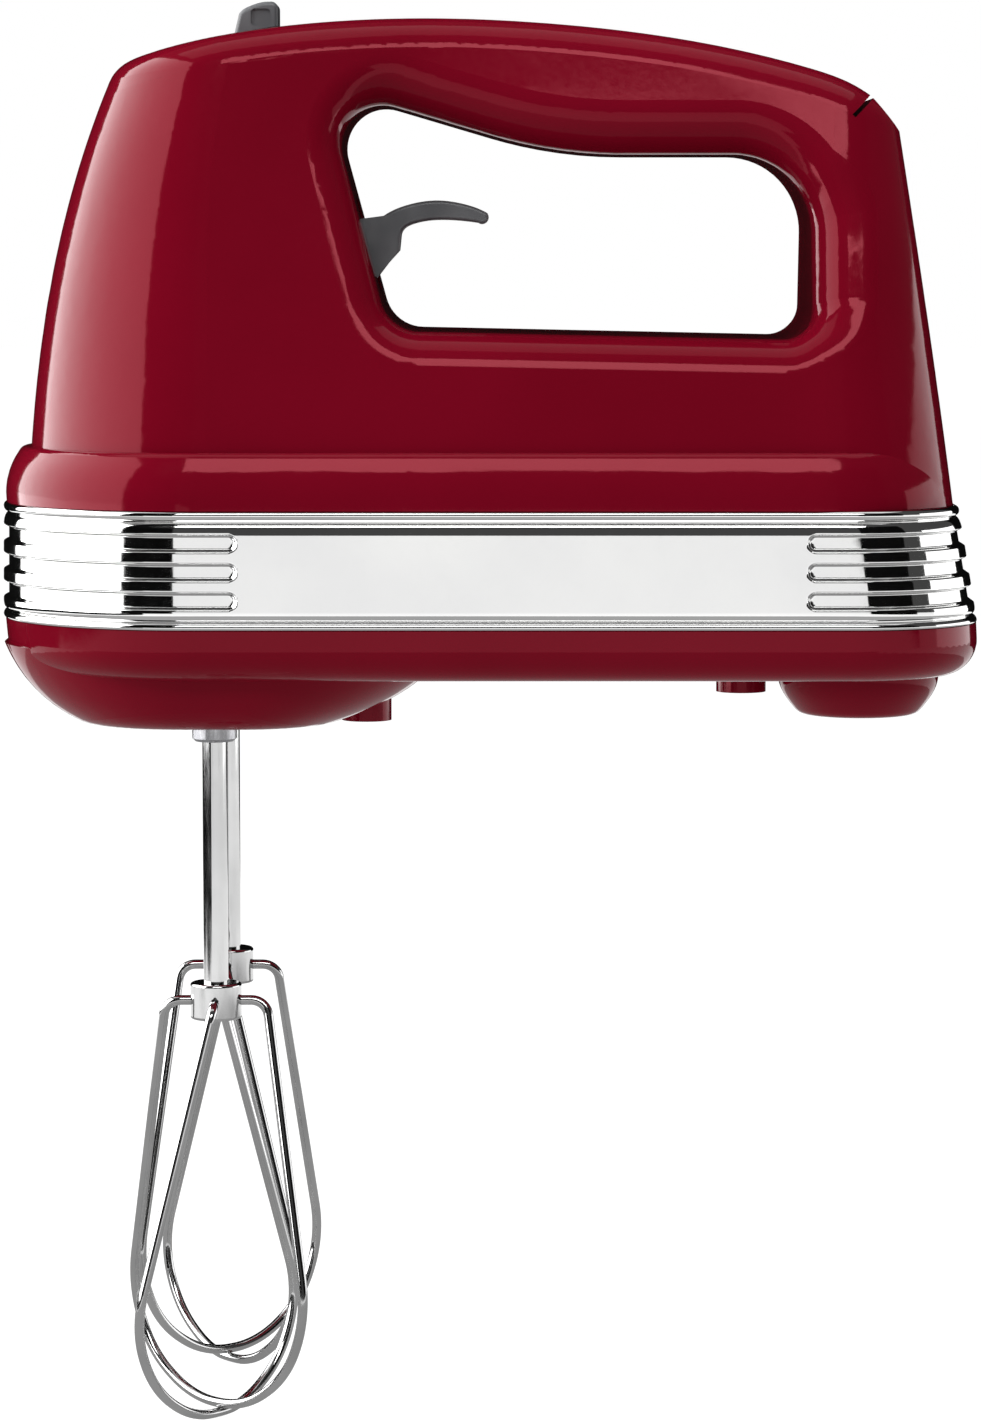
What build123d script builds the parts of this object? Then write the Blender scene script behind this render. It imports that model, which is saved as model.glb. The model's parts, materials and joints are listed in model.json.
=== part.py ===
from build123d import *
from math import acos, atan2, cos, degrees, pi, radians, sin, tan
import os

os.makedirs("parts", exist_ok=True)

# Hand mixer, in millimetres. The origin is the middle of the grip, +X to the heel, +Z up.

# Housing: heights of the joins between its pieces
band_top = -83.3
band_bottom = -106.9
base_z = -117.4
shoulder_z = -72.0
wall = 2.4
opening_wall = 7.0
cover_depth = 6.0
edge_round = 8.0
grip_round = 8.5
shoulder_round = 1.8

# Plan of the housing at several heights:
# height, front, rear, nose half width, grip half width, nose depth, rear corner radius
shell_levels = [
    (band_top, -117.3, 70.5, 42.3, 42.3, 38.0, 25.0),
    (-40.0, -112.6, 64.6, 36.0, 33.5, 34.0, 21.0),
    (-8.0, -104.0, 59.7, 29.0, 24.0, 27.0, 14.0),
    (24.0, -89.0, 54.8, 21.5, 16.5, 21.0, 10.0),
]
shoulder_levels = [
    (band_top, -121.8, 70.2, 45.3, 45.3, 40.0, 29.0),
    (-78.2, -121.5, 69.6, 44.9, 44.9, 40.0, 29.0),
    (shoulder_z, -118.4, 67.4, 42.7, 42.7, 38.4, 27.4),
]
band_levels = [
    (band_bottom, -122.6, 75.5, 45.5, 45.5, 40.0, 27.0),
    (band_top, -122.4, 71.4, 45.4, 45.4, 40.0, 26.0),
]
base_levels = [
    (base_z, -121.2, 75.9, 44.2, 44.2, 40.0, 26.0),
    (band_bottom, -122.2, 75.3, 45.2, 45.2, 40.0, 27.0),
]
waist_run = 42.0

# Crown of the grip, along X and Z
crown_points = [
    (-130, -7.6),
    (-74.8, 10.7),
    (-39.6, 14.0),
    (-12, 13.1),
    (14.8, 10.0),
    (41.1, 4.1),
    (49.5, 1.0),
    (54, -1.7),
    (60, -6.0),
    (90, -30),
]
notch = (54.0, -2.0)
heel_corner = (59.5, -8.4)
seam_foot = (50.0, -6.0)
seam_gap = 0.6

# Finger opening: corners and their radii, along X and Z
opening_corners = [(-42.9, -48.3), (-55.9, 0.3), (-9.6, -13.3), (41.5, -13.3), (41.5, -50.1)]
opening_radii = [8.0, 8.2, 95.0, 15.5, 6.0]

# Speed knob, its slot and the plate beside it
knob_front = -74.5
knob_rear = -65.7
knob_travel = 20.0
knob_half_width = 6.0
stem_front = -72.9
stem_rear = -67.3
slot_front = -73.4
slot_rear = -46.8
slot_half_width = 3.4
plate_front = -66.6
plate_rear = -19.6
plate_half_width = 10.5
plate_top = 0.25
plate_bottom = 1.3

# Band and its grooves
band_wall = 2.0
groove_heights = [-89.6, -95.3, -101.0]
groove_width = 3.0
groove_depth = 1.1
front_groove_end = -74.3
rear_groove_end = 41.3

# Base: gearbox bowl (height, length, width, corner, middle), screw towers and screws
bowl_levels = [
    (-112.0, 92.5, 78.0, 36.0, -76.0),
    (-120.6, 78.5, 74.0, 32.0, -77.4),
    (-127.9, 50.0, 66.0, 22.0, -80.0),
]
bowl_round = 7.0
base_round = 7.0
tower_x = [-48.2, 28.9]
tower_bottoms = [-128.7, -122.8]
front_post_places = [(-106, 20), (-106, -20)]
screw_post_places = [(59, 25), (59, -25)]
post_bottom = -110.0
frame_post_places = [(-98.5, 9), (-98.5, -9), (-60.5, 11), (-60.5, -11)]
foot_top = -110.5
foot_bottom = -113.5

# Gearbox frame
tray_bottom = -100.0
tray_top = -97.0
tray_corner = 12.0
cap_corner = 16.0
bush_bottom = -105.0
boss_bore = 4.95
clip_room_radius = 6.2
clip_room_bottom = -116.0
cap_bottom = -79.2
cap_top = -76.2

# Drive: a two-start worm between two worm wheels
beater_x = -78.2
beater_y = 24.5
motor_z = -88.0
teeth = 24
starts = 2
gear_radius = 17.25
worm_radius = beater_y - gear_radius
gear_thickness = 9.0
addendum = 1.0
dedendum = 1.3
backlash = 0.35
flank = tan(radians(20))
axial_pitch = 2 * pi * gear_radius / teeth
worm_lead = starts * axial_pitch
gear_twist = degrees(worm_lead / (2 * pi * worm_radius) / gear_radius * gear_thickness)
half_tooth = axial_pitch / 4 - backlash / 2
worm_length = 26.0

# Motor, along X on the worm's axis
stator_front = -34.0
stator_rear = -4.0
armature_radius = 15.4
shaft_turn_radius = 3.0
shaft_fit = 3.05
board_bottom = -62.0
board_top = -60.4
frame_head_bottom = -119.0
frame_head_top = -116.5
screw_head_top = -114.0
neck_radius = 11.7

# Spindles and beaters
spindle_radius = 4.5
spindle_fit = 4.56
socket_radius = 2.58
spindle_bottom = -130.6
spindle_top = -76.6
shaft_radius = 2.5
shaft_top = -88.0
hub_radius = 5.2
hub_z = -183.3
hub_height = 7.4
wire_radius = 1.0
shoulder_radius = 10.2
loop_radius = 23.2
loop_twist = 40.0

# Release lever
pivot = (-62.0, -31.0)
lever_half_width = 6.5
lever_top = [(-44.4, -25.4), (-38.8, -23.0), (-33.2, -22.3), (-27.4, -23.2), (-23.4, -24.8)]
lever_under = [(-32.0, -26.2), (-38.0, -26.9), (-40.9, -29.4)]
lever_back = [
    (-41.2, -32.4),
    (-43.4, -34.8),
    (-46.0, -38.2),
    (-52.0, -38.2),
    (-62.0, -35.5),
    (-79.0, -34.5),
    (-80.0, -33.4),
    (-80.0, -31.5),
    (-62.0, -26.5),
    (-52.0, -26.4),
]
ejector_bottom = -65.5
ejector_thickness = 2.5
pusher_bottom = -84.0

# Cord turret and its seat
turret_x = 53.0
turret_bottom = -127.5
turret_bowl = [(16.6, base_z - 0.4), (16.1, -121.5), (13.4, -125.8), (9.4, turret_bottom)]
neck_top = base_z + wall + 2.4
gland_radius = 3.7
gland_z = -122.6


def save(piece, label):
    piece.part.label = label
    export_step(piece.part, f"parts/{label}.step")


def plan_outline(front, rear, nose, grip, depth, corner):
    nose_x = front + depth
    with BuildLine() as outline:
        tip = EllipticalCenterArc((nose_x, 0), depth, nose, start_angle=90, arc_size=180)
        left = Spline(tip @ 0, (nose_x + waist_run, grip), tangents=((1, 0), (1, 0)))
        right = Spline(tip @ 1, (nose_x + waist_run, -grip), tangents=((1, 0), (1, 0)))
        Line(left @ 1, (rear - corner, grip))
        Line(right @ 1, (rear - corner, -grip))
        CenterArc((rear - corner, grip - corner), corner, 0, 90)
        CenterArc((rear - corner, corner - grip), corner, 270, 90)
        Line((rear, grip - corner), (rear, corner - grip))
    return outline.line


def plan_loft(levels, inset):
    with BuildPart() as solid:
        for z, front, rear, nose, grip, depth, corner in levels:
            outline = plan_outline(
                front + inset, rear - inset, nose - inset, grip - inset, depth - inset, corner - inset
            )
            with BuildSketch(Plane.XY.offset(z)):
                add(outline)
                make_face()
        loft()
    return solid


def below_crown(drop):
    points = [(x, z - drop) for x, z in crown_points]
    with BuildPart() as solid:
        with BuildSketch(Plane.XZ.offset(-60)):
            with BuildLine():
                crown = Spline(*points)
                Polyline(crown @ 1, (90, -130), (-130, -130), crown @ 0)
            make_face()
        extrude(amount=120)
    return solid


def opening_column(grow):
    with BuildPart() as solid:
        with BuildSketch(Plane.XZ.offset(-60)):
            with BuildLine():
                FilletPolyline(*opening_corners, radius=opening_radii, close=True)
            make_face()
            if grow:
                offset(amount=grow, kind=Kind.ARC)
        extrude(amount=120)
    return solid


def crown_layer(top_drop, bottom_drop):
    above = below_crown(top_drop)
    below = below_crown(bottom_drop)
    with BuildPart() as solid:
        add(above.part)
        add(below.part, mode=Mode.SUBTRACT)
    return solid


def cylinder_between(x, y, radius, bottom, top):
    with BuildPart() as solid:
        with BuildSketch(Plane.XY.offset(bottom)):
            with Locations((x, y)):
                Circle(radius)
        extrude(amount=top - bottom)
    return solid


def block(x_range, y_range, z_range, round_by=0.0):
    with BuildPart() as solid:
        with BuildSketch(Plane.XY.offset(z_range[0])):
            with Locations(((x_range[0] + x_range[1]) / 2, (y_range[0] + y_range[1]) / 2)):
                Rectangle(x_range[1] - x_range[0], y_range[1] - y_range[0])
        extrude(amount=z_range[1] - z_range[0])
        if round_by:
            fillet(solid.edges().filter_by(Axis.Z), round_by)
    return solid


def disc_x(start, end, radius, bore=0.0, y=0.0, z=motor_z):
    with BuildPart() as solid:
        with BuildSketch(Plane.YZ.offset(start)):
            with Locations((y, z)):
                Circle(radius)
                if bore:
                    Circle(bore, mode=Mode.SUBTRACT)
        extrude(amount=end - start)
    return solid


def disc_y(start, end, radius, middle):
    with BuildPart() as solid:
        with BuildSketch(Plane.XZ.offset(-end)):
            with Locations(middle):
                Circle(radius)
        extrude(amount=end - start)
    return solid


def cross_recess(x, y, bottom):
    with BuildPart() as solid:
        with BuildSketch(Plane.XY.offset(bottom)):
            with Locations((x, y)):
                Rectangle(3.0, 0.8)
                Rectangle(0.8, 3.0)
        extrude(amount=1)
    return solid


# Housing shells
shell_form = plan_loft(shell_levels, 0)
inner_form = plan_loft(shell_levels, wall)
crown_form = below_crown(0)
inner_crown_form = below_crown(wall)
opening_form = opening_column(0)
wide_opening_form = opening_column(opening_wall)

with BuildPart() as outer_form:
    add(shell_form.part)
    add(crown_form.part, mode=Mode.INTERSECT)
    fillet(outer_form.faces().sort_by(Axis.Z)[-1].edges(), edge_round)
    with BuildSketch(Plane.XZ.offset(-60)):
        with BuildLine():
            heel_fall = (heel_corner[0] - notch[0], heel_corner[1] - notch[1])
            Polyline(
                (notch[0] - heel_fall[0], notch[1] - heel_fall[1]),
                heel_corner,
                (heel_corner[0] + 20, heel_corner[1]),
                (heel_corner[0] + 20, 20),
                (notch[0] - heel_fall[0], 20),
                close=True,
            )
        make_face()
    extrude(amount=120, mode=Mode.SUBTRACT)
    add(opening_form.part, mode=Mode.SUBTRACT)
    rim = [
        edge
        for edge in outer_form.edges()
        if -56.5 < edge.center().X < 42.5 and -51 < edge.center().Z < -2 and abs(edge.center().Y) > 16
    ]
    fillet(rim, grip_round)

shoulder_block = plan_loft(shoulder_levels, 0)
with BuildPart() as shoulder_form:
    add(shoulder_block.part)
    fillet(shoulder_form.faces().sort_by(Axis.Z)[-1].edges(), shoulder_round)

with BuildPart() as cavity_form:
    add(inner_form.part)
    add(inner_crown_form.part, mode=Mode.INTERSECT)
    add(wide_opening_form.part, mode=Mode.SUBTRACT)
    with BuildSketch(Plane.XZ.offset(-60)):
        with BuildLine():
            Polyline(
                (notch[0] - 11, notch[1] + 5),
                (heel_corner[0], heel_corner[1] - 9),
                (90, -40),
                (90, 20),
                close=True,
            )
        make_face()
    extrude(amount=120, mode=Mode.SUBTRACT)

with BuildPart() as cover_tool:
    with BuildSketch(Plane.XZ.offset(-60)):
        with BuildLine():
            seam = Spline(*[(x, z - cover_depth) for x, z in crown_points[:6]], seam_foot)
            Polyline(seam @ 1, notch, (notch[0] + 14, notch[1] + 18), (-130, 30), seam @ 0)
        make_face()
    extrude(amount=120)

plate_layer = crown_layer(-2, plate_bottom)
with BuildPart() as plate_recess:
    add(plate_layer.part)
    with BuildSketch(Plane.XY):
        with Locations(((plate_front + plate_rear) / 2, 0)):
            RectangleRounded(plate_rear - plate_front + 0.2, 2 * plate_half_width + 0.2, 4.1)
    extrude(amount=30, mode=Mode.INTERSECT)

knob_slot = block((slot_front, slot_rear), (-slot_half_width, slot_half_width), (2.5, 24))
lever_slot = block((-60, -40), (-7.8, 7.8), (-40.5, -22.0))
pin_bore = disc_y(-12, 12, 2.0, pivot)

with BuildPart() as upper_housing:
    add(outer_form.part)
    add(shoulder_form.part)
    add(cover_tool.part, mode=Mode.SUBTRACT)
    add(cavity_form.part, mode=Mode.SUBTRACT)
    for x, y in front_post_places + screw_post_places:
        add(cylinder_between(x, y, 4.0, post_bottom, -62).part)
    for x, y in screw_post_places:
        add(cylinder_between(x, y, 1.6, post_bottom, -90).part, mode=Mode.SUBTRACT)
    for y in (-20, 20):
        add(cylinder_between(10, y, 3.0, board_top, -56).part)
    for y in (-10.5, 8.0):
        add(block((-67, -52), (y, y + 2.5), (-38, -24)).part)
    add(pin_bore.part, mode=Mode.SUBTRACT)
    add(lever_slot.part, mode=Mode.SUBTRACT)
save(upper_housing, "upper_housing")

with BuildPart() as seam_slit:
    with BuildSketch(Plane.XZ.offset(-60)):
        with BuildLine():
            Polyline(
                seam_foot,
                (notch[0] + 8, notch[1] + 8),
                (notch[0] + 8 - seam_gap, notch[1] + 8 + seam_gap),
                (seam_foot[0] - seam_gap, seam_foot[1] + seam_gap),
                close=True,
            )
        make_face()
    extrude(amount=120)

with BuildPart() as handle_cover:
    add(outer_form.part)
    add(cover_tool.part, mode=Mode.INTERSECT)
    add(seam_slit.part, mode=Mode.SUBTRACT)
    add(cavity_form.part, mode=Mode.SUBTRACT)
    add(plate_recess.part, mode=Mode.SUBTRACT)
    add(knob_slot.part, mode=Mode.SUBTRACT)
save(handle_cover, "handle_cover")

plate_body = crown_layer(plate_top, plate_bottom)
with BuildPart() as speed_scale:
    add(plate_body.part)
    with BuildSketch(Plane.XY):
        with Locations(((plate_front + plate_rear) / 2, 0)):
            RectangleRounded(plate_rear - plate_front, 2 * plate_half_width, 4)
    extrude(amount=30, mode=Mode.INTERSECT)
    add(knob_slot.part, mode=Mode.SUBTRACT)
save(speed_scale, "speed_scale")

# Band: a chrome ring with three grooves round each end
band_block = plan_loft(band_levels, 0)
band_core = plan_loft(band_levels, groove_depth)
band_hollow = plan_loft(band_levels, band_wall)
with BuildPart() as groove_tool:
    for z in groove_heights:
        for start, end in [(-150, front_groove_end), (rear_groove_end, 100)]:
            with BuildSketch(Plane.XZ.offset(-60)):
                with Locations(((start + end) / 2, z)):
                    SlotCenterToCenter(end - start, groove_width)
            extrude(amount=120)
    add(band_core.part, mode=Mode.SUBTRACT)
with BuildPart() as chrome_band:
    add(band_block.part)
    fillet(chrome_band.faces().filter_by(Axis.Z).edges(), 0.8)
    add(groove_tool.part, mode=Mode.SUBTRACT)
    add(band_hollow.part, mode=Mode.SUBTRACT)
save(chrome_band, "chrome_band")

# Base tray with the gearbox bowl, screw towers and turret seat
base_block = plan_loft(base_levels, 0)
base_hollow = plan_loft(base_levels, wall)
with BuildPart() as base_space:
    add(base_hollow.part)
    split(bisect_by=Plane.XY.offset(base_z + wall), keep=Keep.TOP)
with BuildPart() as bowl_form:
    for z, length, width, corner, middle in bowl_levels:
        with BuildSketch(Plane.XY.offset(z)):
            with Locations((middle, 0)):
                RectangleRounded(length, width, corner)
    loft()
    fillet(bowl_form.faces().sort_by(Axis.Z)[0].edges(), bowl_round)
with BuildPart() as bowl_space:
    for z, length, width, corner, middle in bowl_levels:
        with BuildSketch(Plane.XY.offset(z + wall)):
            with Locations((middle, 0)):
                RectangleRounded(length - 2 * wall, width - 2 * wall, corner - wall)
    loft()
    fillet(bowl_space.faces().sort_by(Axis.Z)[0].edges(), bowl_round - wall)
with BuildPart() as base_round_form:
    add(base_block.part)
    fillet(base_round_form.faces().sort_by(Axis.Z)[0].edges(), base_round)
with BuildPart() as bowl_trim:
    add(bowl_form.part)
    split(bisect_by=Plane.XY.offset(base_z + base_round + 0.2), keep=Keep.BOTTOM)

with BuildPart() as lower_housing:
    add(base_round_form.part)
    add(bowl_trim.part)
    for x, bottom in zip(tower_x, tower_bottoms):
        add(cylinder_between(x, 0, 5.1, bottom, base_z + 1).part)
    add(base_space.part, mode=Mode.SUBTRACT)
    add(bowl_space.part, mode=Mode.SUBTRACT)
    for x, bottom in zip(tower_x, tower_bottoms):
        add(cylinder_between(x, 0, 5.1, bottom, foot_bottom).part)
        add(cylinder_between(x, 0, 3.4, bottom - 1, frame_head_bottom).part, mode=Mode.SUBTRACT)
        add(cylinder_between(x, 0, 2.5, frame_head_bottom, frame_head_top).part, mode=Mode.SUBTRACT)
        add(cylinder_between(x, 0, 1.6, frame_head_top, foot_bottom).part, mode=Mode.SUBTRACT)
    for x, y in front_post_places + screw_post_places:
        add(cylinder_between(x, y, 5.0, base_z, post_bottom).part)
    for x, y in screw_post_places:
        add(cylinder_between(x, y, 3.5, -132, screw_head_top).part, mode=Mode.SUBTRACT)
        add(cylinder_between(x, y, 1.9, screw_head_top, post_bottom).part, mode=Mode.SUBTRACT)
    for y in (-beater_y, beater_y):
        add(cylinder_between(beater_x, y, 8.0, -126.2, bush_bottom).part)
        add(cylinder_between(beater_x, y, boss_bore, -132, clip_room_bottom).part, mode=Mode.SUBTRACT)
        clip_room = cylinder_between(beater_x, y, clip_room_radius, clip_room_bottom, bush_bottom)
        add(clip_room.part, mode=Mode.SUBTRACT)
    add(cylinder_between(turret_x, 0, neck_radius + 0.5, base_z - 1, base_z + wall).part, mode=Mode.SUBTRACT)
save(lower_housing, "lower_housing")

# Screws
with BuildPart() as housing_screws:
    for x, y in screw_post_places:
        add(cylinder_between(x, y, 3.2, screw_head_top - 2.4, screw_head_top).part)
        add(cylinder_between(x, y, 1.6, screw_head_top, -92).part)
        add(cross_recess(x, y, screw_head_top - 2.4).part, mode=Mode.SUBTRACT)
save(housing_screws, "housing_screws")

with BuildPart() as frame_screws:
    for x in tower_x:
        add(cylinder_between(x, 0, 2.5, frame_head_bottom, frame_head_top).part)
        add(cylinder_between(x, 0, 1.6, frame_head_top, foot_top - 0.5).part)
        add(cross_recess(x, 0, frame_head_bottom).part, mode=Mode.SUBTRACT)
save(frame_screws, "frame_screws")

# Gearbox frame
with BuildPart() as gearbox_tray:
    add(block((-101.5, -57.5), (-38, 38), (tray_bottom, tray_top), tray_corner).part)
    for y in (-beater_y, beater_y):
        add(cylinder_between(beater_x, y, 9.5, bush_bottom, tray_top).part)
        add(cylinder_between(beater_x, y, 7.5, bush_bottom, tray_top).part, mode=Mode.SUBTRACT)
    for x, y in frame_post_places:
        add(cylinder_between(x, y, 3.0, tray_top, cap_bottom).part)
    add(block((-101, -96), (-9, 9), (tray_top, cap_bottom)).part)
    add(disc_x(-101, -96, 6.0).part, mode=Mode.SUBTRACT)
    for x, y in frame_post_places:
        add(cylinder_between(x, y, 1.4, -90, cap_bottom).part, mode=Mode.SUBTRACT)
save(gearbox_tray, "gearbox_tray")

with BuildPart() as gearbox_cap:
    add(block((-101.5, -57.5), (-36, 36), (cap_bottom, cap_top), cap_corner).part)
    for y in (-beater_y, beater_y):
        add(cylinder_between(beater_x, y, spindle_fit, cap_bottom, cap_top).part, mode=Mode.SUBTRACT)
    for x, y in frame_post_places:
        add(cylinder_between(x, y, 1.4, cap_bottom, cap_top).part, mode=Mode.SUBTRACT)
save(gearbox_cap, "gearbox_cap")

with BuildPart() as gearbox_screws:
    for x, y in frame_post_places:
        add(cylinder_between(x, y, 2.8, cap_top, cap_top + 2).part)
        add(cylinder_between(x, y, 1.4, -89.5, cap_top).part)
        add(cross_recess(x, y, cap_top + 1).part, mode=Mode.SUBTRACT)
save(gearbox_screws, "gearbox_screws")

with BuildPart() as spindle_bushes:
    for y in (-beater_y, beater_y):
        add(cylinder_between(beater_x, y, 7.5, bush_bottom, tray_top).part)
        add(cylinder_between(beater_x, y, spindle_fit, bush_bottom, tray_top).part, mode=Mode.SUBTRACT)
save(spindle_bushes, "spindle_bushes")

# Still half of the motor
with BuildPart() as stator_core:
    with BuildSketch(Plane.YZ.offset(stator_front)):
        with Locations((0, motor_z)):
            RectangleRounded(58, 46, 7)
            Circle(armature_radius + 0.6, mode=Mode.SUBTRACT)
        with Locations(*[(side * 21, motor_z + rise * 11.5) for side in (-1, 1) for rise in (-1, 1)]):
            Rectangle(6, 5, mode=Mode.SUBTRACT)
    extrude(amount=stator_rear - stator_front)
save(stator_core, "stator_core")

for label, side in [("left_field_coil", -1), ("right_field_coil", 1)]:
    near, far = sorted((side * 18, side * 24))
    with BuildPart() as field_coil:
        add(block((stator_front - 6, stator_rear + 6), (near, far), (motor_z - 14, motor_z + 14)).part)
        fillet(field_coil.edges().filter_by(Axis.Y), 2.5)
        coil_window = block((stator_front, stator_rear), (near, far), (motor_z - 9, motor_z + 9))
        add(coil_window.part, mode=Mode.SUBTRACT)
    save(field_coil, label)

for label, face, inner_end, bush_end in [
    ("front_bracket", -56.5, stator_front, 5.0),
    ("rear_bracket", 26.0, stator_rear, -5.0),
]:
    depth = 3.0 if inner_end > face else -3.0
    with BuildPart() as bracket:
        with BuildSketch(Plane.YZ.offset(face)):
            with Locations((0, motor_z)):
                RectangleRounded(56, 47, 6)
                Circle(6.0, mode=Mode.SUBTRACT)
            with Locations((0, motor_z - 14), (0, motor_z + 14)):
                SlotOverall(30, 6, mode=Mode.SUBTRACT)
        extrude(amount=depth)
        for y in (-28, 24.5):
            low, high = sorted((face, inner_end))
            add(block((low, high), (y, y + 3.5), (motor_z - 7, motor_z + 7)).part)
        with BuildSketch(Plane.YZ.offset(face)):
            with Locations((0, motor_z)):
                Circle(8.5)
                Circle(6.0, mode=Mode.SUBTRACT)
        extrude(amount=bush_end)
        foot_x = tower_x[0] if inner_end > face else tower_x[1]
        low, high = min(face, foot_x - 5), max(face, foot_x + 5)
        add(block((low, high), (-9, 9), (foot_bottom, foot_top)).part)
        add(cylinder_between(foot_x, 0, 1.6, foot_bottom, foot_top).part, mode=Mode.SUBTRACT)
    save(bracket, label)

for label, start in [("front_bush", -101), ("middle_bush", -56.5), ("rear_bush", 21.0)]:
    save(disc_x(start, start + 5, 6.0, shaft_fit), label)

with BuildPart() as brush_holders:
    for side in (-1, 1):
        low, high = sorted((side * 10.5, side * 24.5))
        add(block((5.5, 15.5), (low, high), (motor_z - 4, motor_z + 4)).part)
        add(block((7, 14), (low, high), (motor_z - 2.5, motor_z + 2.5)).part, mode=Mode.SUBTRACT)
save(brush_holders, "brush_holders")

with BuildPart() as carbon_brushes:
    for side in (-1, 1):
        low, high = sorted((side * 9.4, side * 18.5))
        add(block((7, 14), (low, high), (motor_z - 2.5, motor_z + 2.5)).part)
save(carbon_brushes, "carbon_brushes")

with BuildPart() as brush_springs:
    for side in (-1, 1):
        direction = (0, side, 0)
        with BuildLine():
            Helix(1.5, 5.2, 1.8, center=(10.5, side * 18.9, motor_z), direction=direction)
        coil = brush_springs.pending_edges[-1]
        coil_start = Plane(origin=coil @ 0, z_dir=coil % 0)
        with BuildSketch(coil_start):
            Circle(0.3)
        sweep(is_frenet=True)
save(brush_springs, "brush_springs")

# Turning half of the motor
with BuildPart() as motor_shaft:
    add(disc_x(-104.5, 30, shaft_turn_radius).part)
    chamfer(motor_shaft.edges().filter_by(GeomType.CIRCLE), 0.5)
save(motor_shaft, "motor_shaft")

with BuildPart() as armature_core:
    with BuildSketch(Plane.YZ.offset(stator_front)):
        with Locations((0, motor_z)):
            Circle(armature_radius)
            Circle(shaft_turn_radius, mode=Mode.SUBTRACT)
            with PolarLocations(armature_radius - 2.0, 12):
                SlotOverall(5, 2.6, mode=Mode.SUBTRACT)
    extrude(amount=stator_rear - stator_front)
save(armature_core, "armature_core")

with BuildPart() as armature_windings:
    for start, end in [(stator_front - 7, stator_front), (stator_rear, stator_rear + 7)]:
        add(disc_x(start, end, armature_radius - 1.5, shaft_turn_radius).part)
    front_rims = armature_windings.edges().filter_by(GeomType.CIRCLE).group_by(Axis.X)[0]
    fillet(front_rims.sort_by(SortBy.LENGTH)[-1], 4)
    rear_rims = armature_windings.edges().filter_by(GeomType.CIRCLE).group_by(Axis.X)[-1]
    fillet(rear_rims.sort_by(SortBy.LENGTH)[-1], 2)
save(armature_windings, "armature_windings")

with BuildPart() as commutator:
    with BuildSketch(Plane.YZ.offset(stator_rear + 7)):
        with Locations((0, motor_z)):
            Circle(9)
            Circle(shaft_turn_radius, mode=Mode.SUBTRACT)
            with PolarLocations(9, 24):
                Rectangle(1.6, 0.5, mode=Mode.SUBTRACT)
    extrude(amount=14)
save(commutator, "commutator")

with BuildPart() as cooling_fan:
    add(disc_x(-50.5, -48.5, 20, shaft_turn_radius).part)
    add(disc_x(-48.5, -42, 6, shaft_turn_radius).part)
    with BuildSketch(Plane.YZ.offset(-48.5)):
        with Locations((0, motor_z)):
            with PolarLocations(12.6, 12):
                Rectangle(14, 1.2, rotation=20)
    extrude(amount=6)
save(cooling_fan, "cooling_fan")

crest = worm_radius + addendum
root = worm_radius - dedendum
turn_per_mm = 360 / worm_lead
crest_turn = (half_tooth - addendum * flank) * turn_per_mm
root_turn = (half_tooth + dedendum * flank) * turn_per_mm


def polar(radius, angle):
    return (radius * cos(radians(angle)), radius * sin(radians(angle)))


with BuildSketch() as worm_section:
    with BuildLine():
        for lobe in (0, 180):
            start = polar(crest, lobe - crest_turn)
            end = polar(crest, lobe + crest_turn)
            foot = polar(root, lobe + root_turn)
            next_foot = polar(root, lobe + 180 - root_turn)
            ThreePointArc(start, polar(crest, lobe), end)
            ThreePointArc(end, polar((crest + root) / 2, lobe + (crest_turn + root_turn) / 2), foot)
            ThreePointArc(foot, polar(root, lobe + 90), next_foot)
            rise = polar((crest + root) / 2, lobe + 180 - (crest_turn + root_turn) / 2)
            ThreePointArc(next_foot, rise, polar(crest, lobe + 180 - crest_turn))
    make_face()
    Circle(shaft_turn_radius, mode=Mode.SUBTRACT)

worm_turn = worm_length * turn_per_mm
worm_phase = -radians(worm_turn / 2)
worm_solid = Solid.extrude_linear_with_rotation(
    worm_section.sketch.faces()[0], center=(0, 0, 0), normal=(0, 0, worm_length), angle=worm_turn
)
worm_start = Plane(
    origin=(beater_x - worm_length / 2, 0, motor_z),
    x_dir=(0, cos(worm_phase), sin(worm_phase)),
    z_dir=(1, 0, 0),
)
with BuildPart() as worm:
    add(worm_start.location * worm_solid)
save(worm, "worm")

# Worm wheels, spindles and their clips
tip = gear_radius + addendum
gear_root = gear_radius - dedendum
tip_half = degrees((half_tooth - addendum * flank) / gear_radius)
root_half = degrees((half_tooth + dedendum * flank) / gear_radius)
tooth_step = 360 / teeth


def gear_outline(turn):
    points = []
    for tooth in range(teeth):
        middle = turn + tooth * tooth_step
        points += [
            polar(gear_root, middle - root_half),
            polar(tip, middle - tip_half),
            polar(tip, middle + tip_half),
            polar(gear_root, middle + root_half),
        ]
    return points


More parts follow.
